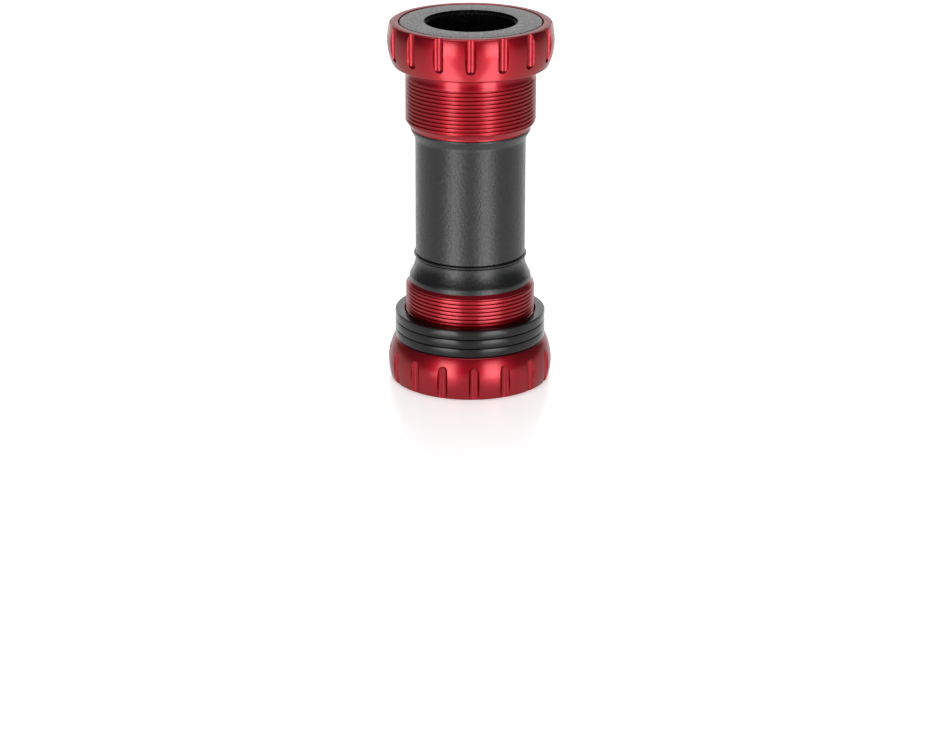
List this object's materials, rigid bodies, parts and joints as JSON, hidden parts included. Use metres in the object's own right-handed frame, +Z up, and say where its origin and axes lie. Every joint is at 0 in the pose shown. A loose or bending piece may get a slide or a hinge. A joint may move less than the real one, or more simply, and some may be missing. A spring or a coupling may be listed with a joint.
{
  "type": "bottom bracket",
  "caption": "Threaded bicycle bottom bracket: two red notched cups with outboard bearings, joined by a dark plastic sleeve, with black spacers under one flange, for a 24 mm spindle.",
  "frame": {"origin": "centre of the lower cup's rim, on the surface that the unit stands on", "axes": "+Z up along the spindle's axis, from the cup with the spacers to the other cup. -Y faces the viewer, and one notch of the upper cup faces -Y"},
  "size_m": [0.0444, 0.0444, 0.099],
  "materials": {
    "anodised_aluminium": "turned, red anodised, satin gloss",
    "bearing_steel": "ground, satin",
    "ceramic_ball": "polished black silicon nitride",
    "cage_nylon": "moulded, black",
    "seal_rubber": "moulded, black",
    "cover_plastic": "moulded, fine grained, dark grey",
    "sleeve_plastic": "moulded, satin, charcoal",
    "spacer_plastic": "moulded, satin, black",
    "o_ring_rubber": "moulded, black"
  },
  "bodies": {
    "lower_cup": {"lower_cup": "anodised_aluminium", "lower_bearing_outer_race": "bearing_steel", "lower_outboard_seal": "seal_rubber", "lower_inboard_seal": "seal_rubber"},
    "lower_turning": {"lower_dust_cover": "cover_plastic", "lower_bearing_inner_race": "bearing_steel"},
    "lower_cage": {"lower_bearing_balls": "ceramic_ball", "lower_bearing_cage": "cage_nylon"},
    "lower_o_ring": {"lower_o_ring": "o_ring_rubber"},
    "upper_cup": {"upper_cup": "anodised_aluminium", "upper_bearing_outer_race": "bearing_steel", "upper_outboard_seal": "seal_rubber", "upper_inboard_seal": "seal_rubber"},
    "upper_turning": {"upper_dust_cover": "cover_plastic", "upper_bearing_inner_race": "bearing_steel"},
    "upper_cage": {"upper_bearing_balls": "ceramic_ball", "upper_bearing_cage": "cage_nylon"},
    "upper_o_ring": {"upper_o_ring": "o_ring_rubber"},
    "centre_sleeve": {"centre_sleeve": "sleeve_plastic"},
    "spacer_1": {"spacer_1": "spacer_plastic"},
    "spacer_2": {"spacer_2": "spacer_plastic"},
    "spacer_3": {"spacer_3": "spacer_plastic"}
  },
  "joints": [
    {"name": "lower_bearing_spin", "type": "hinge", "parent": "lower_cup", "child": "lower_turning", "pos_m": [0, 0, 0], "axis": [0, 0, 1], "continuous": true},
    {"name": "lower_cage_roll", "type": "hinge", "parent": "lower_cup", "child": "lower_cage", "pos_m": [0, 0, 0], "axis": [0, 0, 1], "continuous": true},
    {"name": "sleeve_pull", "type": "slide", "parent": "lower_cup", "child": "lower_o_ring", "axis": [0, 0, 1], "range_m": [0, 0.02]},
    {"name": "sleeve_turn", "type": "hinge", "parent": "lower_o_ring", "child": "centre_sleeve", "pos_m": [0, 0, 0], "axis": [0, 0, 1], "continuous": true},
    {"name": "upper_cup_turn", "type": "hinge", "parent": "centre_sleeve", "child": "upper_o_ring", "pos_m": [0, 0, 0], "axis": [0, 0, 1], "continuous": true},
    {"name": "upper_cup_pull", "type": "slide", "parent": "upper_o_ring", "child": "upper_cup", "axis": [0, 0, 1], "range_m": [0, 0.02]},
    {"name": "upper_bearing_spin", "type": "hinge", "parent": "upper_cup", "child": "upper_turning", "pos_m": [0, 0, 0], "axis": [0, 0, 1], "continuous": true},
    {"name": "upper_cage_roll", "type": "hinge", "parent": "upper_cup", "child": "upper_cage", "pos_m": [0, 0, 0], "axis": [0, 0, 1], "continuous": true},
    {"name": "spacer_1_slide", "type": "slide", "parent": "lower_cup", "child": "spacer_1", "axis": [0, 0, 1], "range_m": [0, 0.0225]},
    {"name": "spacer_2_slide", "type": "slide", "parent": "spacer_1", "child": "spacer_2", "axis": [0, 0, 1], "range_m": [0, 0.0225]},
    {"name": "spacer_3_slide", "type": "slide", "parent": "spacer_2", "child": "spacer_3", "axis": [0, 0, 1], "range_m": [0, 0.0225]}
  ],
  "couplings": [
    {"joint": "lower_cage_roll", "follows": "lower_bearing_spin", "ratio": 0.4488},
    {"joint": "upper_cage_roll", "follows": "upper_bearing_spin", "ratio": 0.4488}
  ]
}
